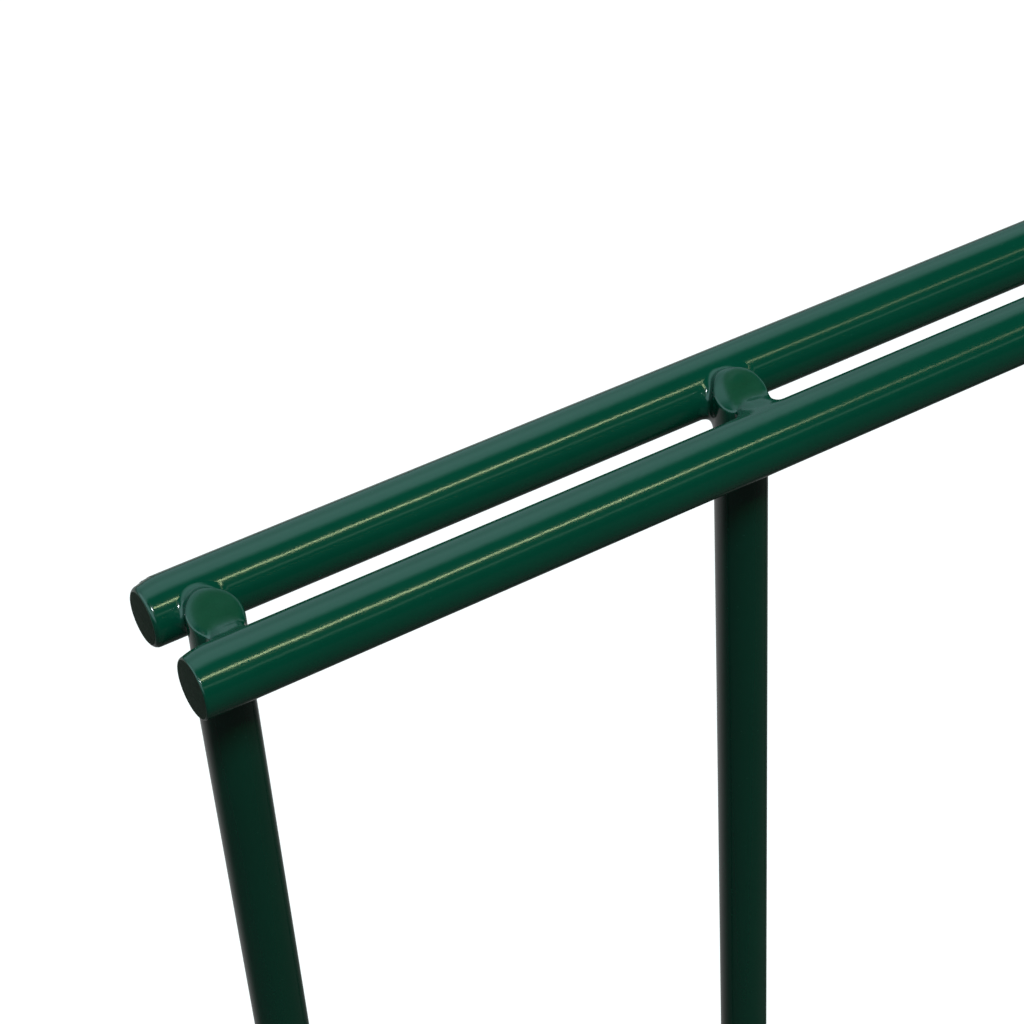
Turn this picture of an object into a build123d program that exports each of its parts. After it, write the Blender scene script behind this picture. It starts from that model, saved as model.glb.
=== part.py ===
from build123d import *
import os

# Twin-wire welded mesh fence panel, in millimetres. The sizes are those of the bare steel.
# X runs along the panel, Y from the front wires to the back wires, Z up.
# The origin is the centre of the middle upright's foot, on the panel's mid plane.

# Panel
panel_height = 832.0
upright_pitch = 50.0
pitches_each_side = 20
row_names = ["bottom", "lower", "middle", "upper", "top"]

# Wires
upright_diameter = 4.6
line_wire_diameter = 5.3
line_wire_end_bevel = 0.35

# The heads are sheared at a slant, in degrees, that falls towards the front.
upright_head_slant = 20.0

# Free ends, measured from the crossing wire's axis. A head is measured at its middle.
foot_length = 30.0
head_length = 2.0
front_wire_overhang = 4.4
back_wire_overhang = 3.9

# Each pair of line wires is welded to the uprights where they touch, one in front and one behind.
line_wire_offset = upright_diameter / 2 + line_wire_diameter / 2
row_pitch = (panel_height - foot_length - head_length) / (len(row_names) - 1)
row_heights = [foot_length + row_pitch * row for row in range(len(row_names))]
upright_stations = [
    upright_pitch * step for step in range(-pitches_each_side, pitches_each_side + 1)
]


def round_wire(diameter, length):
    """A straight round wire that stands on the XY plane, cut square at both ends."""
    return Cylinder(diameter / 2, length, align=(Align.CENTER, Align.CENTER, Align.MIN))


def upright():
    """An upright on its foot, with its head sheared at a slant."""
    wire = round_wire(upright_diameter, panel_height + upright_diameter)
    shear = Plane(origin=(0, 0, panel_height)).rotated((upright_head_slant, 0, 0))
    return split(wire, bisect_by=shear, keep=Keep.BOTTOM)


def line_wire(overhang):
    """A line wire centred on the X axis, past the outermost uprights by the overhang."""
    length = upright_stations[-1] - upright_stations[0] + 2 * overhang
    wire = round_wire(line_wire_diameter, length)
    wire = chamfer(wire.edges().filter_by(GeomType.CIRCLE), line_wire_end_bevel)
    return Pos(-length / 2, 0, 0) * Rot(0, 90, 0) * wire


def save(piece, node):
    export_step(piece, f"parts/{node}.step")


os.makedirs("parts", exist_ok=True)

for number, station in enumerate(upright_stations, start=1):
    save(Pos(station, 0, 0) * upright(), f"upright_{number:02d}")

for name, height in zip(row_names, row_heights):
    front_wire = Pos(0, -line_wire_offset, height) * line_wire(front_wire_overhang)
    back_wire = Pos(0, line_wire_offset, height) * line_wire(back_wire_overhang)
    save(front_wire, f"{name}_front_wire")
    save(back_wire, f"{name}_back_wire")
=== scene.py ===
"""Looks of the welded mesh fence panel: coated wires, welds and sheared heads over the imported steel."""
import math

import bmesh
import bpy
from mathutils import Matrix, Vector


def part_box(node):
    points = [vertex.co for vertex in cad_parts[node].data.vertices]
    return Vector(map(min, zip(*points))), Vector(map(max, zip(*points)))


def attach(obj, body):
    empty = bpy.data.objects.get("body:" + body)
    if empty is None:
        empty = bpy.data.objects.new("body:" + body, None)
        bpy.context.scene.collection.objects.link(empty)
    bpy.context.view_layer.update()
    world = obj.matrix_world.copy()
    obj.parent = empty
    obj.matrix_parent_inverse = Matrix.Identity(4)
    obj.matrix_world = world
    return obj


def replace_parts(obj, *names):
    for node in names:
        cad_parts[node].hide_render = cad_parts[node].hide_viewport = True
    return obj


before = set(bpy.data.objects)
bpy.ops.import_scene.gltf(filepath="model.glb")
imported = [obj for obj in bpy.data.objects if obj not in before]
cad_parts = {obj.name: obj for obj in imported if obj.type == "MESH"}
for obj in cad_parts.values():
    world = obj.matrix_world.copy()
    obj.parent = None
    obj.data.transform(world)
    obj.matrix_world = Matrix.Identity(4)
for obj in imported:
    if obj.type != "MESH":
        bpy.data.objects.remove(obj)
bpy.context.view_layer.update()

bl_info = {
    "name": "Welded Mesh Fence Panel",
    "version": (1, 0, 0),
    "blender": (4, 5, 0),
    "location": "View3D > Sidebar > Fence Panel",
    "description": "Builds the coated wires, welds and studio of a twin-wire fence panel",
    "category": "Object",
}

MM = 0.001
ROWS = ("bottom", "lower", "middle", "upper", "top")
UPRIGHTS = sorted(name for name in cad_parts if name.startswith("upright"))
LINE_WIRES = {side: [f"{row}_{side}_wire" for row in ROWS] for side in ("front", "back")}


def middle(node):
    """The middle of a CAD node's box."""
    low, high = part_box(node)
    return (low + high) / 2


def bare_radius(node):
    """Half the width of a CAD wire across the panel."""
    low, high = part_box(node)
    return (high.y - low.y) / 2


FIRST_STATION = middle(UPRIGHTS[0]).x
PITCH = middle(UPRIGHTS[1]).x - FIRST_STATION
ROW_HEIGHTS = [middle(wire).z for wire in LINE_WIRES["front"]]
ROW_PITCH = ROW_HEIGHTS[1] - ROW_HEIGHTS[0]
WIRE_OFFSET = middle("top_back_wire").y

# At the top row the uprights' plain skin ends this far under the row's axis, and the joints' skin goes on.
JOINT_DEPTH = 3.8 * MM
MERGE_DISTANCE = 0.001 * MM


# Nodes


def find_socket(sockets, key):
    """A node's socket by number, or the live one of that name."""
    if isinstance(key, int):
        return sockets[key]
    return next(socket for socket in sockets if socket.name == key and socket.enabled)


class Value:
    """A node's output. Arithmetic on it adds Math nodes, or Vector Math nodes where a vector takes part."""

    def __init__(self, nodes, socket):
        self.nodes = nodes
        self.socket = socket

    def out(self, name):
        """Another output of the same node."""
        return Value(self.nodes, find_socket(self.socket.node.outputs, name))

    def maths(self, operation, *others):
        return self.nodes.maths(operation, self, *others)

    def __add__(self, other):
        return self.maths("ADD", other)

    def __sub__(self, other):
        return self.maths("SUBTRACT", other)

    def __mul__(self, other):
        return self.maths("MULTIPLY", other)

    def __truediv__(self, other):
        return self.maths("DIVIDE", other)

    def __mod__(self, other):
        return self.maths("MODULO", other)

    def __pow__(self, other):
        return self.maths("POWER", other)

    def __radd__(self, other):
        return self.nodes.maths("ADD", other, self)

    def __rsub__(self, other):
        return self.nodes.maths("SUBTRACT", other, self)

    def __rmul__(self, other):
        return self.nodes.maths("MULTIPLY", other, self)

    def __rtruediv__(self, other):
        return self.nodes.maths("DIVIDE", other, self)

    def __neg__(self):
        return self * -1


class Nodes:
    """Adds nodes to one node tree."""

    def __init__(self, tree):
        self.tree = tree

    def add(self, kind, settings=None, sockets=None):
        """Adds a node, sets it up and fills its sockets. Returns its first live output as a Value."""
        node = self.tree.nodes.new(kind)
        for name, setting in (settings or {}).items():
            if name == "stops":
                set_stops(node.color_ramp, setting)
            else:
                setattr(node, name, setting)
        for key, content in (sockets or {}).items():
            parts = content if isinstance(content, list) else [content]
            for part in parts:
                self.fill(find_socket(node.inputs, key), part)
        outputs = [socket for socket in node.outputs if socket.enabled]
        return Value(self, outputs[0]) if outputs else None

    def fill(self, socket, content):
        """Links a Value to a socket, or sets the socket to a plain number, colour, vector or material."""
        if isinstance(content, Value):
            self.tree.links.new(content.socket, socket)
        elif socket.type == "VECTOR" and isinstance(content, (int, float)):
            socket.default_value = (content,) * 3
        else:
            socket.default_value = content

    def maths(self, operation, *terms):
        vectors = [t for t in terms if isinstance(t, (tuple, Vector))]
        vectors += [t for t in terms if isinstance(t, Value) and t.socket.type == "VECTOR"]
        kind = "ShaderNodeVectorMath" if vectors else "ShaderNodeMath"
        return self.add(kind, {"operation": operation}, dict(enumerate(terms)))

    def mix(self, factor, first, second, kind="RGBA"):
        sockets = {"Factor": factor, "A": first, "B": second}
        return self.add("ShaderNodeMix", {"data_type": kind}, sockets)

    def rise(self, value, low, high):
        """0 up to low, 1 from high on, and a smooth rise between them."""
        sockets = {"Value": value, "From Min": low, "From Max": high}
        return self.add("ShaderNodeMapRange", {"interpolation_type": "SMOOTHSTEP"}, sockets)

    def noise(self, place, scale, detail=2.0):
        return self.add("ShaderNodeTexNoise", {}, {"Vector": place, "Scale": scale, "Detail": detail})

    def split(self, vector):
        """The X, Y and Z of a vector."""
        x = self.add("ShaderNodeSeparateXYZ", {}, {"Vector": vector})
        return x, x.out("Y"), x.out("Z")

    def joined(self, x, y, z):
        """A vector from its X, Y and Z."""
        return self.add("ShaderNodeCombineXYZ", {}, {"X": x, "Y": y, "Z": z})


def set_stops(ramp, stops):
    """Gives a colour ramp its stops, each a place from 0 to 1 and a colour."""
    while len(ramp.elements) < len(stops):
        ramp.elements.new(1.0)
    for element, (place, colour) in zip(ramp.elements, stops):
        element.position = place
        element.color = colour


def geometry_tree(name, inputs, output=("Geometry", "NodeSocketGeometry")):
    """Starts a Geometry Nodes tree. Returns its nodes and a function that gives a named input."""
    tree = bpy.data.node_groups.new(name, "GeometryNodeTree")
    for label, (kind, default) in inputs.items():
        socket = tree.interface.new_socket(label, in_out="INPUT", socket_type=f"NodeSocket{kind}")
        if default is not None:
            socket.default_value = default
    tree.interface.new_socket(output[0], in_out="OUTPUT", socket_type=output[1])
    nodes = Nodes(tree)
    first = nodes.add("NodeGroupInput")
    return nodes, first.out


def merged(nodes, mesh):
    """Closes the seam and the two poles of a shape that was turned from a grid."""
    return nodes.add(
        "GeometryNodeMergeByDistance", {}, {"Geometry": mesh, "Distance": MERGE_DISTANCE}
    )


def finish_tree(nodes, geometry, material):
    """Ends a tree: instances become mesh, shaded smooth, in one material."""
    geometry = nodes.add("GeometryNodeRealizeInstances", {}, {"Geometry": geometry})
    geometry = nodes.add("GeometryNodeSetShadeSmooth", {}, {"Geometry": geometry})
    geometry = nodes.add("GeometryNodeSetMaterial", {}, {"Geometry": geometry, "Material": material})
    nodes.add("NodeGroupOutput", {}, {0: geometry})
    return nodes.tree


def grow(tree, inputs):
    """Runs a Geometry Nodes tree with the given inputs and returns the result as a plain mesh."""
    bed = bpy.data.objects.new("bed", bpy.data.meshes.new("bed"))
    bpy.context.collection.objects.link(bed)
    modifier = bed.modifiers.new("Tree", "NODES")
    modifier.node_group = tree
    for item in tree.interface.items_tree:
        if item.in_out == "INPUT" and item.name in inputs:
            modifier[item.identifier] = inputs[item.name]
    depsgraph = bpy.context.evaluated_depsgraph_get()
    mesh = bpy.data.meshes.new_from_object(bed.evaluated_get(depsgraph))
    bpy.data.objects.remove(bed)
    if not mesh.polygons:
        raise RuntimeError(f"{tree.name} gave no faces")
    return mesh


def add_piece(name, meshes):
    """Joins meshes of one material into a piece that rides on the panel."""
    material = next(m for m in meshes[0].materials if m)
    joined = bmesh.new()
    for mesh in meshes:
        joined.from_mesh(mesh)
        bpy.data.meshes.remove(mesh)
    for face in joined.faces:
        face.material_index = 0
    piece_mesh = bpy.data.meshes.new(name)
    joined.to_mesh(piece_mesh)
    joined.free()
    piece_mesh.materials.append(material)
    piece = bpy.data.objects.new(name, piece_mesh)
    bpy.context.collection.objects.link(piece)
    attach(piece, "root")
    return piece


# Finishes


def new_material(name):
    material = bpy.data.materials.new(name)
    material.use_nodes = True
    material.node_tree.nodes.clear()
    return material, Nodes(material.node_tree)


def coating(name, colour, run_scale, look):
    """Glossy powder coat, dull on a sheared head. A small run scale draws its runs out on that axis."""
    material, nodes = new_material(name)
    place = nodes.add("ShaderNodeTexCoord").out("Object")
    cut = nodes.add("ShaderNodeAttribute", {"attribute_name": "cut_face"}).out("Fac")

    cloud = nodes.noise(place, 70.0)
    mottle = nodes.noise(place, 900.0, 3.0)
    dust = nodes.rise(nodes.noise(place, 2600.0, 1.0), 0.74, 0.8)
    tone = 0.86 + cloud * 0.2 + mottle * 0.08
    green = nodes.add(
        "ShaderNodeMix",
        {"data_type": "RGBA", "blend_type": "MULTIPLY"},
        {"Factor": 1.0, "A": (*colour, 1.0), "B": tone},
    )
    green = nodes.mix(dust * 0.2, green, (*look.dust_colour, 1.0))
    head = nodes.mix(mottle, (*look.head_colour, 1.0), (*(Vector(look.head_colour) * 0.75), 1.0))

    runs = nodes.noise(place * run_scale, 420.0, 1.5)
    peel = nodes.noise(place, 1100.0, 1.0)
    grain = nodes.noise(place, 3200.0, 3.0)
    height = runs + peel * 0.25 + grain * cut * 0.5
    bump = nodes.add(
        "ShaderNodeBump", {}, {"Strength": 1.0, "Distance": look.run_height, "Height": height}
    )
    roughness = look.roughness + (mottle - 0.5) * 0.06
    glossy = nodes.add(
        "ShaderNodeBsdfPrincipled",
        {},
        {"Base Color": green, "Roughness": roughness, "Normal": bump, "IOR": 1.5},
    )
    dull = nodes.add(
        "ShaderNodeBsdfPrincipled",
        {},
        {
            "Base Color": head,
            "Roughness": 0.42,
            "Specular IOR Level": 0.15,
            "Normal": bump,
            "IOR": 1.5,
        },
    )
    shader = nodes.add("ShaderNodeMixShader", {}, {0: cut, 1: glossy, 2: dull})
    nodes.add("ShaderNodeOutputMaterial", {}, {"Surface": shader})
    return material


def sheared_end(name, look):
    """The thinly coated cut end of a line wire, dull and dark, with drag lines of the shear."""
    material, nodes = new_material(name)
    place = nodes.add("ShaderNodeTexCoord").out("Object")
    drag = nodes.noise(place * (1.0, 1.0, 5.0), 700.0, 4.0)
    pits = nodes.noise(place, 2400.0, 2.0)
    colour = Vector(look.end_colour)
    stain = nodes.mix(drag, (*(colour * 0.55), 1.0), (*(colour * 1.5), 1.0))
    bump = nodes.add(
        "ShaderNodeBump", {}, {"Strength": 1.0, "Distance": 0.03 * MM, "Height": drag + pits * 0.6}
    )
    shader = nodes.add(
        "ShaderNodeBsdfPrincipled",
        {},
        {
            "Base Color": stain,
            "Roughness": 0.5 + pits * 0.2,
            "Specular IOR Level": 0.03,
            "Normal": bump,
        },
    )
    nodes.add("ShaderNodeOutputMaterial", {}, {"Surface": shader})
    return material


# Geometry


def wire_tree():
    """Round wires, turned from a grid, with rounded rims at both ends, repeated in a straight row."""
    nodes, given = geometry_tree(
        "Row of wires",
        {
            "Radius": ("Float", 0.002),
            "Length": ("Float", 1.0),
            "Rim": ("Float", 0.0004),
            "Rim Steps": ("Int", 6),
            "Roll": ("Float", 0.0),
            "Roll Length": ("Float", 0.001),
            "Roll Steps": ("Int", 1),
            "Roll Side": ("Vector", (1.0, 0.0, 0.0)),
            "Facets": ("Int", 64),
            "Turn": ("Vector", (0.0, 0.0, 0.0)),
            "Count": ("Int", 1),
            "First": ("Vector", (0.0, 0.0, 0.0)),
            "Step": ("Vector", (0.0, 0.0, 0.1)),
            "Material": ("Material", None),
        },
    )
    # At each end the rings run from the middle of the cut over its rim and along the pressed stretch.
    columns = given("Facets") + 1
    rings = (given("Rim Steps") + given("Roll Steps") + 2) * 2
    grid = nodes.add("GeometryNodeMeshGrid", {}, {"Vertices X": rings, "Vertices Y": columns})
    index = nodes.add("GeometryNodeInputIndex")
    angle = (index % columns) / given("Facets") * math.tau
    ring = ((index + 0.5) / columns).maths("FLOOR")
    far_end = ring.maths("GREATER_THAN", rings / 2 - 0.5)
    from_end = ring.maths("MINIMUM", rings - 1 - ring)
    on_rim = (from_end - 1) / given("Rim Steps")
    lean = on_rim.maths("MAXIMUM", 0).maths("MINIMUM", 1) * (math.pi / 2)
    inner = given("Radius") - given("Rim")
    radial = from_end.maths("MINIMUM", 1) * (inner + given("Rim") * lean.maths("SINE"))
    rolled = ((from_end - 1 - given("Rim Steps")) / given("Roll Steps")).maths("MAXIMUM", 0)
    depth = given("Rim") * (1 - lean.maths("COSINE")) + rolled * given("Roll Length")
    along = nodes.mix(far_end, depth, given("Length") - depth, "FLOAT")
    place = nodes.joined(radial * angle.maths("COSINE"), radial * angle.maths("SINE"), along)

    # The shear presses one side of the end inwards, less and less with the depth.
    side = nodes.maths("DOT_PRODUCT", place, given("Roll Side")).out("Value") / given("Radius")
    press = (1 - rolled).maths("MAXIMUM", 0) * (side + 1) * 0.5
    place = place - given("Roll Side") * (press * press * given("Roll"))
    wire = nodes.add("GeometryNodeSetPosition", {}, {"Geometry": grid, "Position": place})
    wire = merged(nodes, wire)
    line = nodes.add(
        "GeometryNodeMeshLine",
        {},
        {"Count": given("Count"), "Start Location": given("First"), "Offset": given("Step")},
    )
    row = nodes.add(
        "GeometryNodeInstanceOnPoints",
        {},
        {"Points": line, "Instance": wire, "Rotation": given("Turn")},
    )
    return finish_tree(nodes, row, given("Material"))


def crossing_tree():
    """The small rounded lip of weld and coating where upright and line wire meet, repeated over a lattice."""
    nodes, given = geometry_tree(
        "Crossing welds",
        {
            "Upright Radius": ("Float", 0.0024),
            "Line Wire Radius": ("Float", 0.00275),
            "Lip": ("Float", 0.0006),
            "Facets": ("Int", 24),
            "Uprights": ("Int", 2),
            "Upright Step": ("Float", 0.05),
            "Rows": ("Int", 2),
            "Row Step": ("Float", 0.2),
            "First": ("Vector", (0.0, 0.0, 0.0)),
            "Material": ("Material", None),
        },
    )
    arc_rings = 6
    overlap = 0.08
    upright, wire, lip = given("Upright Radius"), given("Line Wire Radius"), given("Lip")
    offset = upright + wire
    columns = given("Facets") + 1
    grid = nodes.add("GeometryNodeMeshGrid", {}, {"Vertices X": arc_rings, "Vertices Y": columns})
    index = nodes.add("GeometryNodeInputIndex")
    angle = (index % columns) / given("Facets") * math.tau
    ring = ((index + 0.5) / columns).maths("FLOOR")

    # A ball of the lip's radius rolls round the crossing and touches both wires.
    y = upright - lip * (angle * 2).maths("COSINE")
    x_size = ((upright + lip) ** 2 - y * y).maths("MAXIMUM", 0).maths("SQRT")
    z_size = ((wire + lip) ** 2 - (y - offset) ** 2).maths("MAXIMUM", 0).maths("SQRT")
    x = x_size * angle.maths("COSINE").maths("SIGN")
    z = z_size * angle.maths("SINE").maths("SIGN")
    ball = nodes.joined(x, y, z)
    on_upright = nodes.joined(x, y, 0.0) * -1
    on_wire = nodes.joined(0.0, y - offset, z) * -1

    # Its inner side is the lip, which runs on a little past both points of touch, into the wires.
    share = (ring - 1) / (arc_rings - 3) * (1 + 2 * overlap) - overlap
    toward = nodes.mix(
        share, on_upright.maths("NORMALIZE"), on_wire.maths("NORMALIZE"), "VECTOR"
    )
    toward.socket.node.clamp_factor = False
    skin = ball + toward.maths("NORMALIZE") * lip
    core = nodes.joined(0.0, upright, 0.0)
    is_core = (ring - (arc_rings - 1) / 2).maths("ABSOLUTE").maths("GREATER_THAN", arc_rings / 2 - 1)
    place = nodes.mix(is_core, skin, core, "VECTOR")
    weld = nodes.add("GeometryNodeSetPosition", {}, {"Geometry": grid, "Position": place})
    weld = merged(nodes, weld)
    half_turned = nodes.add(
        "GeometryNodeTransform", {}, {"Geometry": weld, "Rotation": (0.0, 0.0, math.pi)}
    )
    pair = nodes.add("GeometryNodeJoinGeometry", {}, {"Geometry": [weld, half_turned]})
    across = nodes.add(
        "GeometryNodeMeshLine",
        {},
        {
            "Count": given("Uprights"),
            "Start Location": given("First"),
            "Offset": nodes.joined(given("Upright Step"), 0.0, 0.0),
        },
    )
    row = nodes.add("GeometryNodeInstanceOnPoints", {}, {"Points": across, "Instance": pair})
    upwards = nodes.add(
        "GeometryNodeMeshLine",
        {},
        {"Count": given("Rows"), "Offset": nodes.joined(0.0, 0.0, given("Row Step"))},
    )
    lattice = nodes.add("GeometryNodeInstanceOnPoints", {}, {"Points": upwards, "Instance": row})
    return finish_tree(nodes, lattice, given("Material"))


JOINT_INPUTS = {
    "Upright Radius": ("Float", 0.0024),
    "Line Wire Radius": ("Float", 0.00275),
    "Wire Offset": ("Float", 0.00495),
    "Head Height": ("Float", 0.0021),
    "Head Face": ("Vector", (0.0, -0.34, 0.94)),
    "Head Rim": ("Float", 0.0005),
    "Head Shift": ("Float", 0.0),
    "Back Left": ("Float", 0.0012),
    "Back Left Low": ("Float", 0.0012),
    "Back Right": ("Float", 0.0015),
    "Front Left": ("Float", 0.0012),
    "Front Right": ("Float", 0.0006),
    "Front Top": ("Float", 0.0015),
    "Back Pad": ("Vector", (0.0, 0.0026, 0.0015)),
    "Back Pad Size": ("Vector", (0.0016, 0.0008, 0.001)),
    "Front Pad": ("Vector", (0.0, -0.0026, 0.0008)),
    "Front Pad Size": ("Vector", (0.0016, 0.0008, 0.001)),
    "Bevel": ("Float", 0.0005),
    "Bevel Side": ("Vector", (-0.7, 0.7, 0.0)),
    "Unevenness": ("Float", 0.0001),
    "Seed": ("Float", 0.0),
}


def joint_distance_tree():
    """Distance from the skin of one coated joint: a sheared head welded between a pair of line wires."""
    inputs = {"Place": ("Vector", (0.0, 0.0, 0.0)), **JOINT_INPUTS}
    nodes, given = geometry_tree("Joint distance", inputs, ("Distance", "NodeSocketFloat"))
    place = given("Place")
    x, y, z = nodes.split(place)

    def rounded_cut(first, second, radius):
        """Where two shapes overlap, with an edge of a round section."""
        over_1 = (first + radius).maths("MAXIMUM", 0)
        over_2 = (second + radius).maths("MAXIMUM", 0)
        edge = (over_1 * over_1 + over_2 * over_2).maths("SQRT")
        return first.maths("MAXIMUM", second).maths("MINIMUM", radius * -1) + edge

    # The head stands aside from the upright's axis, from just under the line wires.
    head_x = x - given("Head Shift") * nodes.rise(z, -4.0 * MM, -1.0 * MM)
    shank = (head_x * head_x + y * y).maths("SQRT") - given("Upright Radius")
    above = nodes.joined(head_x, y, z - given("Head Height"))
    face = nodes.maths("DOT_PRODUCT", above, given("Head Face")).out("Value")
    upright = rounded_cut(shank, face, given("Head Rim"))

    # On one side the shear left a soft bevel, 25 degrees off the face.
    bevel_up, bevel_out = 0.906, 0.423
    outwards = nodes.joined(head_x, y, 0.0) / given("Upright Radius")
    toward = nodes.maths("DOT_PRODUCT", outwards, given("Bevel Side")).out("Value")
    width = given("Bevel") * nodes.rise(toward, -0.5, 0.8)
    bevel = face * bevel_up + (shank + width) * bevel_out
    upright = upright.maths("SMOOTH_MAX", bevel, 0.4 * MM)

    def line_wire(offset):
        return ((y - offset) * (y - offset) + z * z).maths("SQRT") - given("Line Wire Radius")

    def pad(centre, size):
        """A flattened ball of weld metal."""
        inward = (place - given(centre)) / given(size)
        length = nodes.maths("LENGTH", inward).out("Value")
        stretch = nodes.maths("LENGTH", inward / given(size)).out("Value").maths("MAXIMUM", 1.0)
        return length * (length - 1) / stretch

    def fillet(first, second, radius):
        """Joins two shapes with a hollow of a round section."""
        gap_1 = (radius - first).maths("MAXIMUM", 0)
        gap_2 = (radius - second).maths("MAXIMUM", 0)
        hollow = (gap_1 * gap_1 + gap_2 * gap_2).maths("SQRT")
        return first.maths("MINIMUM", second).maths("MAXIMUM", radius) - hollow

    # The fillets' radii change round the upright. Over the front wire the middle has one of its own.
    upwards = nodes.rise(z, -1.0 * MM, 0.5 * MM)
    back_left = nodes.mix(upwards, given("Back Left Low"), given("Back Left"), "FLOAT")
    to_back_right = nodes.rise(x, 0.0, 3.0 * MM)
    back_blend = nodes.mix(to_back_right, back_left, given("Back Right"), "FLOAT")
    to_front_right = nodes.rise(x, -1.5 * MM, 1.5 * MM)
    front_blend = nodes.mix(to_front_right, given("Front Left"), given("Front Right"), "FLOAT")
    from_middle = (x - 0.3 * MM).maths("ABSOLUTE")
    on_top = nodes.rise(z, 0.0, 1.2 * MM) * (1 - nodes.rise(from_middle, 0.7 * MM, 2.2 * MM))
    front_blend = nodes.mix(on_top, front_blend, given("Front Top"), "FLOAT")
    body = fillet(upright, line_wire(given("Wire Offset")), back_blend)
    body = fillet(body, line_wire(given("Wire Offset") * -1), front_blend)
    body = body.maths("SMOOTH_MIN", pad("Back Pad", "Back Pad Size"), 1.0 * MM)
    body = body.maths("SMOOTH_MIN", pad("Front Pad", "Front Pad Size"), 1.3 * MM)

    # Coating and weld metal lie unevenly, but only near the weld.
    swirl = nodes.noise(place + given("Seed"), 420.0, 1.5) - 0.5
    near = 1 - nodes.rise(x.maths("ABSOLUTE"), 2.2 * MM, 3.8 * MM)
    distance = body - swirl * near * given("Unevenness")
    nodes.add("NodeGroupOutput", {}, {0: distance})
    return nodes.tree


def joint_tree(distance_tree):
    """The skin of a joint at the top row, as far as it stands out of the plain wires, repeated in a row."""
    inputs = {
        **JOINT_INPUTS,
        "Sink": ("Float", 0.00002),
        "Reach": ("Float", 0.0046),
        "Drop": ("Float", 0.0042),
        "Voxel": ("Float", 0.0003),
        "Count": ("Int", 1),
        "First": ("Vector", (0.0, 0.0, 0.0)),
        "Step": ("Vector", (0.05, 0.0, 0.0)),
        "Material": ("Material", None),
    }
    nodes, given = geometry_tree("Top joints", inputs)
    radii = ("Upright Radius", "Line Wire Radius")

    def distance(place):
        sockets = {name: given(name) for name in JOINT_INPUTS}
        for name in radii:
            sockets[name] = given(name) - given("Sink")
        return nodes.add(
            "GeometryNodeGroup", {"node_tree": distance_tree}, {"Place": place, **sockets}
        )

    place = nodes.add("GeometryNodeInputPosition")
    margin = 0.4 * MM
    headroom = 4.2 * MM
    width = given("Wire Offset") + given("Line Wire Radius") + margin
    low = nodes.joined(given("Reach") * -1, width * -1, given("Drop") * -1)
    high = nodes.joined(given("Reach"), width, headroom)
    cells = (high - low) / given("Voxel")
    cells_x, cells_y, cells_z = nodes.split(cells)

    # The density is a half on the skin and falls by a fifth from cell to cell.
    density = 0.5 - distance(place) / given("Voxel") * 0.2
    volume = nodes.add(
        "GeometryNodeVolumeCube",
        {},
        {
            "Density": density.maths("MAXIMUM", 0).maths("MINIMUM", 1),
            "Min": low,
            "Max": high,
            "Resolution X": cells_x,
            "Resolution Y": cells_y,
            "Resolution Z": cells_z,
        },
    )
    skin = nodes.add("GeometryNodeVolumeToMesh", {}, {"Volume": volume, "Threshold": 0.5})

    # Each point slides down the slope of the distance until it lies on the skin.
    probe = 0.00001
    least_steepness = 0.05
    slides = 2
    corners = ((1, -1, -1), (-1, -1, 1), (-1, 1, -1), (1, 1, 1))
    slope = nodes.joined(0.0, 0.0, 0.0)
    for corner in corners:
        shift = Vector(corner) * probe
        slope = slope + nodes.joined(*corner) * distance(place + tuple(shift)) / (4 * probe)
    steepness = nodes.maths("DOT_PRODUCT", slope, slope).out("Value")
    slide = slope * (distance(place) / steepness.maths("MAXIMUM", least_steepness))
    for _ in range(slides):
        skin = nodes.add("GeometryNodeSetPosition", {}, {"Geometry": skin, "Offset": slide * -1})

    # What lies inside the plain wires is left out.
    x, y, z = nodes.split(place)
    wire_gap = ((y.maths("ABSOLUTE") - given("Wire Offset")) ** 2 + z * z).maths("SQRT")
    wire_gap = wire_gap - given("Line Wire Radius")
    shank_gap = (x * x + y * y).maths("SQRT") - given("Upright Radius")
    shank_gap = shank_gap.maths("MAXIMUM", z + JOINT_DEPTH)
    hidden = wire_gap.maths("MINIMUM", shank_gap).maths("LESS_THAN", given("Sink") * -0.7)
    skin = nodes.add(
        "GeometryNodeDeleteGeometry", {"domain": "POINT"}, {"Geometry": skin, "Selection": hidden}
    )

    # The flat of the sheared head is marked, for the dull part of the coating.
    head_x = x - given("Head Shift")
    above = nodes.joined(head_x, y, z - given("Head Height"))
    face = nodes.maths("DOT_PRODUCT", above, given("Head Face")).out("Value")
    inside = (head_x * head_x + y * y).maths("SQRT") / given("Upright Radius")
    near_face = 1 - nodes.rise(face.maths("ABSOLUTE"), 0.04 * MM, 0.3 * MM)
    flat = near_face * (1 - nodes.rise(inside, 0.7, 1.0))
    skin = nodes.add(
        "GeometryNodeStoreNamedAttribute",
        {"data_type": "FLOAT", "domain": "POINT"},
        {"Geometry": skin, "Name": "cut_face", "Value": flat},
    )
    line = nodes.add(
        "GeometryNodeMeshLine",
        {},
        {"Count": given("Count"), "Start Location": given("First"), "Offset": given("Step")},
    )
    row = nodes.add("GeometryNodeInstanceOnPoints", {}, {"Points": line, "Instance": skin})
    return finish_tree(nodes, row, given("Material"))


# Settings


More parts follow.
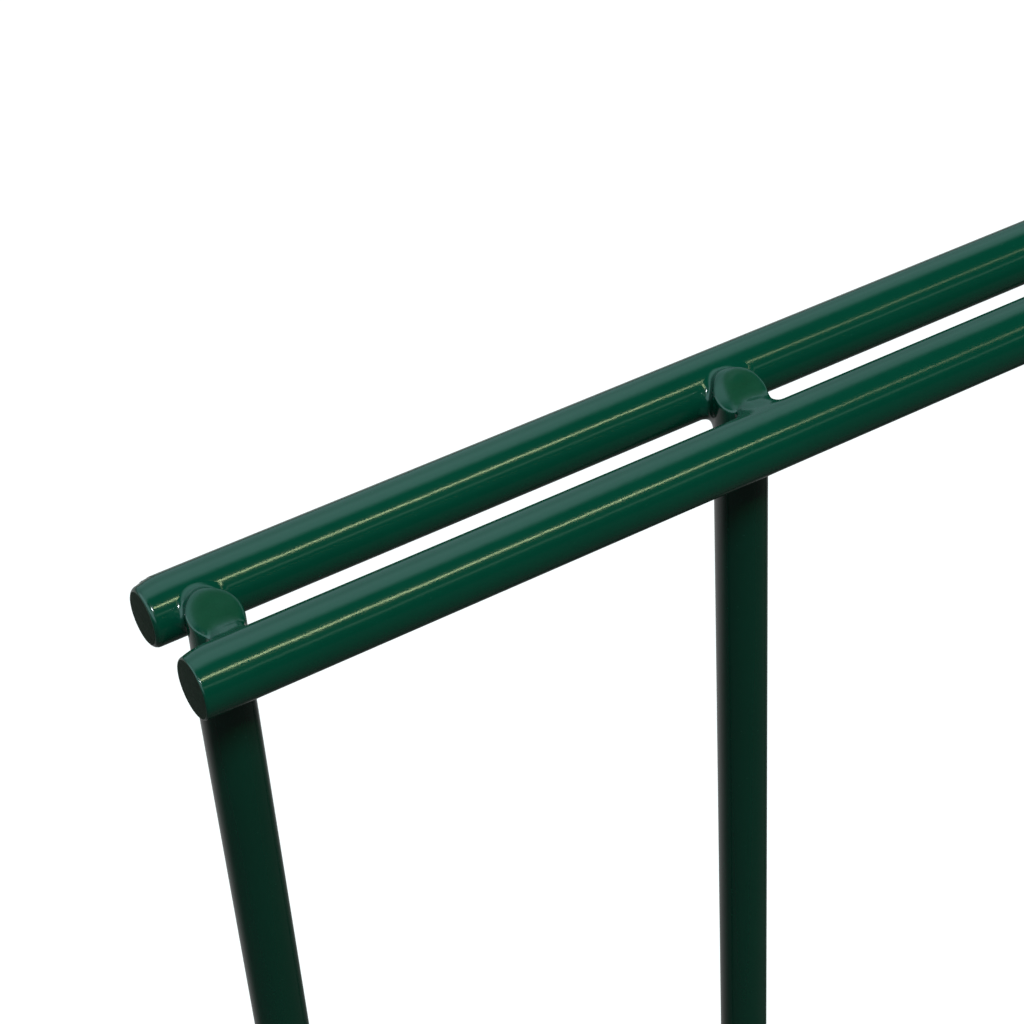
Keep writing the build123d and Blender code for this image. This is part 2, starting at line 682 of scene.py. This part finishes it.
class FencePanelWires(bpy.types.PropertyGroup):
    coating: bpy.props.FloatProperty(
        name="Coating", description="Thickness of the coating on a line wire", default=0.1 * MM,
        unit="LENGTH",
    )
    upright_coating: bpy.props.FloatProperty(
        name="Upright Coating", description="Thickness of the coating on an upright", default=0.06 * MM,
        unit="LENGTH",
    )
    front_rim: bpy.props.FloatProperty(
        name="Front Rim", description="Rounding of a front line wire's cut ends", default=0.25 * MM,
        unit="LENGTH",
    )
    back_rim: bpy.props.FloatProperty(
        name="Back Rim", description="Rounding of a back line wire's cut ends", default=0.55 * MM,
        unit="LENGTH",
    )
    roll: bpy.props.FloatProperty(
        name="Roll-over", description="How far the shear pressed a line wire's end in", default=0.34 * MM,
        unit="LENGTH",
    )
    roll_length: bpy.props.FloatProperty(
        name="Roll-over Length", description="Length of wire that the shear pressed in", default=2.0 * MM,
        unit="LENGTH",
    )
    facets: bpy.props.IntProperty(
        name="Facets", description="Faces round a wire", default=96, min=12, max=256
    )
    lip: bpy.props.FloatProperty(
        name="Weld Lip", description="Radius of the lip round a crossing", default=0.6 * MM, unit="LENGTH"
    )


class FencePanelHeads(bpy.types.PropertyGroup):
    unevenness: bpy.props.FloatProperty(
        name="Unevenness", description="How far the weld metal swells", default=0.1 * MM, unit="LENGTH"
    )
    fine_voxel: bpy.props.FloatProperty(
        name="Fine Cells", description="Cell size of the two joints at the left end", default=0.11 * MM,
        unit="LENGTH",
    )
    voxel: bpy.props.FloatProperty(
        name="Cells", description="Cell size of the other joints", default=0.27 * MM, unit="LENGTH"
    )


class FencePanelFinish(bpy.types.PropertyGroup):
    green: bpy.props.FloatVectorProperty(
        name="Green", description="Colour of the coating", subtype="COLOR", size=3,
        default=(0.001, 0.059, 0.035),
    )
    # Painted shade: uprights and line wires wear the same coat, and this factor darkens the uprights' copy of
    # it.
    upright_painted_shade: bpy.props.FloatProperty(
        name="Upright Painted Shade", description="Tone of the uprights' coating against the line wires'",
        default=0.62,
    )
    head_colour: bpy.props.FloatVectorProperty(
        name="Heads", description="Colour of the thin coating on a sheared head", subtype="COLOR", size=3,
        default=(0.007, 0.066, 0.033),
    )
    end_colour: bpy.props.FloatVectorProperty(
        name="Ends", description="Colour of a line wire's cut end", subtype="COLOR", size=3,
        default=(0.03, 0.04, 0.027),
    )
    dust_colour: bpy.props.FloatVectorProperty(
        name="Dust", description="Colour of fine dust in the coating", subtype="COLOR", size=3,
        default=(0.03, 0.11, 0.08),
    )
    roughness: bpy.props.FloatProperty(
        name="Roughness", description="Roughness of the coating", default=0.165
    )
    run_height: bpy.props.FloatProperty(
        name="Runs", description="Height of the runs in the coating", default=0.028 * MM, unit="LENGTH"
    )


class FencePanelStudio(bpy.types.PropertyGroup):
    sky: bpy.props.FloatVectorProperty(
        name="Overhead", description="Colour of the light from above", subtype="COLOR", size=3, max=2.0,
        default=(0.84, 1.3, 1.36),
    )
    strip_angle: bpy.props.FloatProperty(
        name="Strip Height", description="Height of the strip lamps over the front",
        default=math.radians(52.8), subtype="ANGLE",
    )
    floor_size: bpy.props.FloatProperty(
        name="Floor", description="Side of the floor", default=16.0, unit="LENGTH"
    )


# Operators


def finishes(scene):
    """The coatings of line wires, uprights, joints and cut ends, made on first use."""
    look = scene.fence_panel_finish
    made = bpy.data.materials
    if "line_wire_coating" not in made:
        green = Vector(look.green)
        coating("line_wire_coating", green, (0.25, 1.0, 1.0), look)
        # The uprights get a darker copy of the same coating, scaled by the painted shade factor.
        coating("upright_coating", green * look.upright_painted_shade, (1.0, 1.0, 0.12), look)
        coating("joint_coating", green, (1.0, 1.0, 1.0), look)
        sheared_end("sheared_end", look)
    return made


class FENCE_OT_uprights(bpy.types.Operator):
    """Build the coated uprights"""

    bl_idname = "fence_panel.uprights"
    bl_label = "Uprights"

    def execute(self, context):
        wires = context.scene.fence_panel_wires
        mesh = grow(
            wire_tree(),
            {
                "Radius": bare_radius(UPRIGHTS[0]) + wires.upright_coating,
                "Length": ROW_HEIGHTS[-1] - JOINT_DEPTH,
                "Rim": 0.3 * MM,
                "Rim Steps": 3,
                "Facets": 64,
                "Count": len(UPRIGHTS),
                "First": (FIRST_STATION, 0.0, 0.0),
                "Step": (PITCH, 0.0, 0.0),
                "Material": finishes(context.scene)["upright_coating"],
            },
        )
        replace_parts(add_piece("uprights", [mesh]), *UPRIGHTS)
        return {"FINISHED"}


# The side of a line wire's ends that the shear pressed inwards, before the wire is laid down. It is the
# upper back side of the finished wire.
ROLL_SIDE = (-0.5, 0.866, 0.0)


class FENCE_OT_line_wires(bpy.types.Operator):
    """Build the coated line wires, front and back, with their cut ends"""

    bl_idname = "fence_panel.line_wires"
    bl_label = "Line Wires"

    def execute(self, context):
        wires = context.scene.fence_panel_wires
        tree = wire_tree()
        for side, names in LINE_WIRES.items():
            low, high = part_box(names[0])
            length = high.x - low.x + 2 * wires.coating
            mesh = grow(
                tree,
                {
                    "Radius": bare_radius(names[0]) + wires.coating,
                    "Length": length,
                    "Rim": wires.front_rim if side == "front" else wires.back_rim,
                    "Rim Steps": 5,
                    "Roll": wires.roll,
                    "Roll Length": wires.roll_length,
                    "Roll Steps": 8,
                    "Roll Side": ROLL_SIDE,
                    "Facets": wires.facets,
                    "Turn": (0.0, math.pi / 2, 0.0),
                    "Count": len(names),
                    "First": (-length / 2, middle(names[0]).y, ROW_HEIGHTS[0]),
                    "Step": (0.0, 0.0, ROW_PITCH),
                    "Material": finishes(context.scene)["line_wire_coating"],
                },
            )
            piece = add_piece(f"{side}_line_wires", [mesh])
            piece.data.materials.append(finishes(context.scene)["sheared_end"])
            mark_ends(piece.data, length / 2)
            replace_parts(piece, *names)
        return {"FINISHED"}


def mark_ends(mesh, half_length):
    """Gives the flat ends of the line wires the second material."""
    tolerance = 0.02 * MM
    for face in mesh.polygons:
        if abs(abs(face.center.x) - half_length) < tolerance:
            face.material_index = 1


class FENCE_OT_crossing_welds(bpy.types.Operator):
    """Build the weld lips of the four lower rows"""

    bl_idname = "fence_panel.crossing_welds"
    bl_label = "Crossing Welds"

    def execute(self, context):
        wires = context.scene.fence_panel_wires
        mesh = grow(
            crossing_tree(),
            {
                "Upright Radius": bare_radius(UPRIGHTS[0]) + wires.upright_coating,
                "Line Wire Radius": WIRE_OFFSET - bare_radius(UPRIGHTS[0]) - wires.upright_coating,
                "Lip": wires.lip,
                "Uprights": len(UPRIGHTS),
                "Upright Step": PITCH,
                "Rows": len(ROWS) - 1,
                "Row Step": ROW_PITCH,
                "First": (FIRST_STATION, 0.0, ROW_HEIGHTS[0]),
                "Material": finishes(context.scene)["joint_coating"],
            },
        )
        add_piece("crossing_welds", [mesh])
        return {"FINISHED"}


BLENDS = ("Back Left", "Back Left Low", "Back Right", "Front Left", "Front Right", "Front Top")

# How the two joints at the left end differ, in millimetres and degrees. Each face of a head has the height
# where it crosses the upright's axis, its slant and the direction that it falls in, from +X towards +Y. The
# bevel has its width and its side, blends are the radii that BLENDS names, and a pad has its place and size.
LEFT_JOINTS = (
    {
        "face": (2.0, 22.0, -74.0),
        "rim": 0.4,
        "shift": 0.25,
        "bevel": (0.8, 140.0),
        "blends": (1.25, 0.9, 1.3, 0.7, 0.6, 1.9),
        "back_pad": ((-0.1, 2.3, 1.45), (1.0, 1.1, 0.7)),
        "front_pad": ((0.1, -2.8, 0.8), (1.2, 0.9, 0.6)),
    },
    {
        "face": (2.35, 22.0, -84.0),
        "rim": 0.25,
        "shift": 0.0,
        "bevel": (1.5, 145.0),
        "blends": (1.35, 1.6, 2.2, 0.8, 1.6, 2.0),
        "back_pad": ((0.1, 1.7, 2.1), (1.2, 1.3, 0.7)),
        "front_pad": ((-0.3, -3.0, 1.4), (1.8, 1.4, 0.75)),
    },
)

# The other joints repeat these in turn.
OTHER_JOINTS = (
    {**LEFT_JOINTS[0], "face": (2.1, 18.0, -98.0), "shift": 0.0, "bevel": (0.8, 60.0)},
    {**LEFT_JOINTS[1], "face": (2.0, 21.0, -86.0), "blends": (1.5, 1.2, 1.0, 1.2, 1.7, 1.4)},
    {
        **LEFT_JOINTS[0],
        "face": (2.2, 23.0, -75.0),
        "shift": -0.1,
        "blends": (1.6, 1.0, 1.0, 1.3, 1.4, 1.8),
    },
    {**LEFT_JOINTS[1], "face": (2.1, 19.0, -93.0), "back_pad": ((0.6, 2.3, 1.6), (1.2, 1.0, 0.7))},
    {**LEFT_JOINTS[0], "face": (2.0, 20.0, -82.0), "bevel": (0.9, 175.0)},
)


def leaning(slant, direction):
    """The normal of a plane that falls by the slant in a direction, both in degrees."""
    slant, direction = math.radians(slant), math.radians(direction)
    sideways = math.sin(slant)
    return sideways * math.cos(direction), sideways * math.sin(direction), math.cos(slant)


class FENCE_OT_top_joints(bpy.types.Operator):
    """Build the welded joints and sheared heads of the top row"""

    bl_idname = "fence_panel.top_joints"
    bl_label = "Top Joints"

    def execute(self, context):
        scene = context.scene
        wires, heads = scene.fence_panel_wires, scene.fence_panel_heads
        tree = joint_tree(joint_distance_tree())
        top = ROW_HEIGHTS[-1]

        def grown(shape, seed, voxel, first, step, count):
            """A row of joints of one shape, from its first station on."""
            blends = {name: blend * MM for name, blend in zip(BLENDS, shape["blends"])}
            return grow(
                tree,
                {
                    "Upright Radius": bare_radius(UPRIGHTS[0]) + wires.upright_coating,
                    "Line Wire Radius": bare_radius("top_back_wire") + wires.coating,
                    "Wire Offset": WIRE_OFFSET,
                    "Head Height": shape["face"][0] * MM,
                    "Head Face": leaning(*shape["face"][1:]),
                    "Head Rim": shape["rim"] * MM,
                    "Head Shift": shape["shift"] * MM,
                    **blends,
                    "Back Pad": tuple(Vector(shape["back_pad"][0]) * MM),
                    "Back Pad Size": tuple(Vector(shape["back_pad"][1]) * MM),
                    "Front Pad": tuple(Vector(shape["front_pad"][0]) * MM),
                    "Front Pad Size": tuple(Vector(shape["front_pad"][1]) * MM),
                    "Bevel": shape["bevel"][0] * MM,
                    "Bevel Side": leaning(90.0, shape["bevel"][1]),
                    "Unevenness": heads.unevenness,
                    "Seed": seed,
                    "Voxel": voxel,
                    "Count": count,
                    "First": (first, 0.0, top),
                    "Step": (step, 0.0, 0.0),
                    "Material": finishes(scene)["joint_coating"],
                },
            )

        left = [
            grown(shape, 0.31 + number, heads.fine_voxel, FIRST_STATION + number * PITCH, PITCH, 1)
            for number, shape in enumerate(LEFT_JOINTS)
        ]
        add_piece("left_top_joints", left)
        others = []
        for number, shape in enumerate(OTHER_JOINTS):
            start = len(LEFT_JOINTS) + number
            count = len(range(start, len(UPRIGHTS), len(OTHER_JOINTS)))
            first = FIRST_STATION + start * PITCH
            step = PITCH * len(OTHER_JOINTS)
            others.append(grown(shape, 7.3 + number, heads.voxel, first, step, count))
        add_piece("top_joints", others)
        return {"FINISHED"}


def build_floor(size):
    """A plain pale floor that shows white behind the panel and keeps its shadow."""
    bpy.ops.mesh.primitive_plane_add(size=size)
    floor = bpy.context.object
    floor.name = "floor"
    material, nodes = new_material("floor")
    path = nodes.add("ShaderNodeLightPath")
    seen = path.out("Is Camera Ray") + path.out("Is Transmission Ray")
    place = nodes.add("ShaderNodeTexCoord").out("Object")
    _, y, _ = nodes.split(place)

    def matt(red, green, blue):
        return nodes.add("ShaderNodeBsdfDiffuse", {}, {"Color": (red, green, blue, 1.0)})

    def glow(strength):
        sockets = {"Color": (1.0, 1.0, 1.0, 1.0), "Strength": strength}
        return nodes.add("ShaderNodeEmission", {}, sockets)

    def either(factor, first, second):
        return nodes.add("ShaderNodeMixShader", {}, {0: factor, 1: first, 2: second})

    # The camera sees white with a shadow, reflections a pale floor behind the panel and a dark one before it.
    lit = nodes.add("ShaderNodeAddShader", {}, {0: matt(0.32, 0.32, 0.32), 1: glow(0.88)})
    mirrored = either(nodes.rise(y, 0.2, 1.0), matt(0.12, 0.1, 0.09), glow(0.4))
    other = either(path.out("Is Glossy Ray"), matt(0.04, 0.04, 0.04), mirrored)
    shown = either(seen, other, lit)
    nodes.add("ShaderNodeOutputMaterial", {}, {"Surface": shown})
    floor.data.materials.append(material)


def build_world(sky):
    """Soft light, mostly from behind. Reflections show a bright sky overhead and a dark front."""
    world = bpy.data.worlds.new("studio")
    bpy.context.scene.world = world
    world.use_nodes = True
    world.node_tree.nodes.clear()
    nodes = Nodes(world.node_tree)
    path = nodes.add("ShaderNodeLightPath")
    direction = nodes.add("ShaderNodeTexCoord").out("Generated")
    x, y, z = nodes.split(direction)
    cool = Vector(sky)

    # The way over the top is 0 at the horizon in front, a half overhead and 1 at the horizon behind. On the
    # right the sky begins later and is dimmer.
    to_right = nodes.rise(x, 0.36, 0.54)
    over_top = nodes.maths("ARCTAN2", z, y * -1) / math.pi - to_right * 0.085
    mirror = nodes.add(
        "ShaderNodeValToRGB",
        {
            "stops": (
                (0.0, (0.008, 0.009, 0.008, 1.0)),
                (0.485, (0.012, 0.014, 0.012, 1.0)),
                (0.575, (*cool, 1.0)),
                (0.7, (*cool, 1.0)),
                (0.8, (*(cool * 0.58), 1.0)),
                (1.0, (*(cool * 0.45), 1.0)),
            )
        },
        {"Fac": over_top.maths("MAXIMUM", 0)},
    )
    mirror = nodes.mix(to_right * 0.32, mirror, (0.0, 0.0, 0.0, 1.0))

    # Low on the left, reflections show a pale wall.
    wall = nodes.rise(x * -1, 0.5, 0.75) * nodes.rise(z, -0.1, 0.1)
    wall = wall * (1 - nodes.rise(z, 0.45, 0.6))
    mirror = nodes.mix(wall, mirror, (*(cool * 1.6), 1.0))

    behind = nodes.rise(y, 0.1, 0.9)
    soft = nodes.mix(behind, (*(cool * 0.05), 1.0), (*(cool * 0.4), 1.0))
    light = nodes.mix(path.out("Is Glossy Ray"), soft, mirror)
    shown = nodes.mix(path.out("Is Camera Ray"), light, (1.0, 1.0, 1.0, 1.0))
    background = nodes.add("ShaderNodeBackground", {}, {"Color": shown, "Strength": 1.0})
    nodes.add("ShaderNodeOutputWorld", {}, {"Surface": background})


LAMP_DISTANCE = 1.5
MAIN_DIRECTION = (-0.08, -0.51, 0.856)
SPARK_DIRECTION = (-0.45, -0.55, 0.7)
LOW_STRIP_ANGLE = math.radians(25.3)
WARM = (0.84, 1.0, 0.54)
PALE_GREEN = (0.6, 1.0, 0.75)
COLD = (0.9, 0.97, 1.0)


def over_front(angle):
    """The direction towards what hangs in front of the panel, at an angle over the level."""
    return 0.0, -math.cos(angle), math.sin(angle)


def add_lamp(name, shape, size, direction, station, radiance, colour):
    """An area lamp of the given radiance, its long side along the panel."""
    light = bpy.data.lights.new(name, "AREA")
    light.shape = shape
    light.size, light.size_y = size
    area = size[0] * size[1] * (1.0 if shape == "RECTANGLE" else math.pi / 4)
    light.energy = 4 * area * radiance
    light.color = colour
    return hang(light, direction, station)


def hang(light, direction, station):
    """Hangs a lamp in a direction from a station of the top row and aims it there."""
    lamp = bpy.data.objects.new(light.name, light)
    bpy.context.collection.objects.link(lamp)
    backward = Vector(direction).normalized()
    across = Vector((1.0, 0.0, 0.0))
    upward = backward.cross(across).normalized()
    across = upward.cross(backward)
    turn = Matrix((across, upward, backward)).transposed()
    place = Vector((station, 0.0, ROW_HEIGHTS[-1])) + backward * LAMP_DISTANCE
    lamp.matrix_world = Matrix.Translation(place) @ turn.to_4x4()
    lamp.visible_camera = False
    return lamp


def build_lamps(strip_angle, sky):
    """
    The main light, which shows in no reflection, and the lamps that shine in the coating: a bright strip over
    the left end, a dimmer one on its right, a faint low one and a small hard one.
    """
    light = bpy.data.lights.new("main", "SUN")
    light.angle = math.radians(12.0)
    light.energy = 2.2
    light.color = Vector(sky) / max(sky)
    hang(light, MAIN_DIRECTION, 0.0).visible_glossy = False

    strip, low = over_front(strip_angle), over_front(LOW_STRIP_ANGLE)
    add_lamp("strip_left", "RECTANGLE", (1.0, 0.075), strip, -0.65, 16.0, WARM)
    add_lamp("strip_right", "RECTANGLE", (1.85, 0.075), strip, 0.775, 3.0, WARM)
    low_strip = add_lamp("low_strip", "RECTANGLE", (3.4, 0.12), low, 0.0, 0.85, PALE_GREEN)
    spark = add_lamp("spark", "DISK", (0.075, 0.075), SPARK_DIRECTION, FIRST_STATION, 1000.0, COLD)
    for lamp in (low_strip, spark):
        lamp.visible_diffuse = False


CAMERA_PLACE = (-1.05255, -0.14318, 0.95424)
CAMERA_RIGHT = (0.8497, -0.5239, -0.0591)
CAMERA_FORWARD = (0.3865, 0.6952, -0.6061)
CAMERA_LENS = 88.525
SENSOR_WIDTH = 36.0


def build_camera():
    """The photograph's view of the left end of the top row."""
    camera = bpy.data.objects.new("camera", bpy.data.cameras.new("camera"))
    bpy.context.collection.objects.link(camera)
    camera.data.lens = CAMERA_LENS
    camera.data.sensor_width = SENSOR_WIDTH
    right = Vector(CAMERA_RIGHT).normalized()
    upward = right.cross(Vector(CAMERA_FORWARD)).normalized()
    backward = right.cross(upward)
    turn = Matrix((right, upward, backward)).transposed()
    camera.matrix_world = Matrix.Translation(CAMERA_PLACE) @ turn.to_4x4()
    bpy.context.scene.camera = camera


class FENCE_OT_studio(bpy.types.Operator):
    """Build the floor, the light and the camera"""

    bl_idname = "fence_panel.studio"
    bl_label = "Studio"

    def execute(self, context):
        studio = context.scene.fence_panel_studio
        build_floor(studio.floor_size)
        build_world(studio.sky)
        build_lamps(studio.strip_angle, studio.sky)
        build_camera()
        context.scene.view_settings.view_transform = "Standard"
        return {"FINISHED"}


OPERATORS = (
    FENCE_OT_uprights,
    FENCE_OT_line_wires,
    FENCE_OT_crossing_welds,
    FENCE_OT_top_joints,
    FENCE_OT_studio,
)
SETTINGS = {
    "fence_panel_wires": FencePanelWires,
    "fence_panel_heads": FencePanelHeads,
    "fence_panel_finish": FencePanelFinish,
    "fence_panel_studio": FencePanelStudio,
}


class FENCE_PT_panel(bpy.types.Panel):
    """Settings and steps of the fence panel"""

    bl_idname = "FENCE_PT_panel"
    bl_label = "Fence Panel"
    bl_space_type = "VIEW_3D"
    bl_region_type = "UI"
    bl_category = "Fence Panel"

    def draw(self, context):
        for group_name in SETTINGS:
            group = getattr(context.scene, group_name)
            box = self.layout.box()
            for name in group.__annotations__:
                box.prop(group, name)
        for operator in OPERATORS:
            self.layout.operator(operator.bl_idname)


CLASSES = (*SETTINGS.values(), *OPERATORS, FENCE_PT_panel)


def register():
    for cls in CLASSES:
        bpy.utils.register_class(cls)
    for name, group in SETTINGS.items():
        setattr(bpy.types.Scene, name, bpy.props.PointerProperty(type=group))


def unregister():
    for name in SETTINGS:
        delattr(bpy.types.Scene, name)
    for cls in reversed(CLASSES):
        bpy.utils.unregister_class(cls)


def main():
    register()
    bpy.ops.fence_panel.uprights()
    bpy.ops.fence_panel.line_wires()
    bpy.ops.fence_panel.crossing_welds()
    bpy.ops.fence_panel.top_joints()
    bpy.ops.fence_panel.studio()


if __name__ == "__main__":
    main()
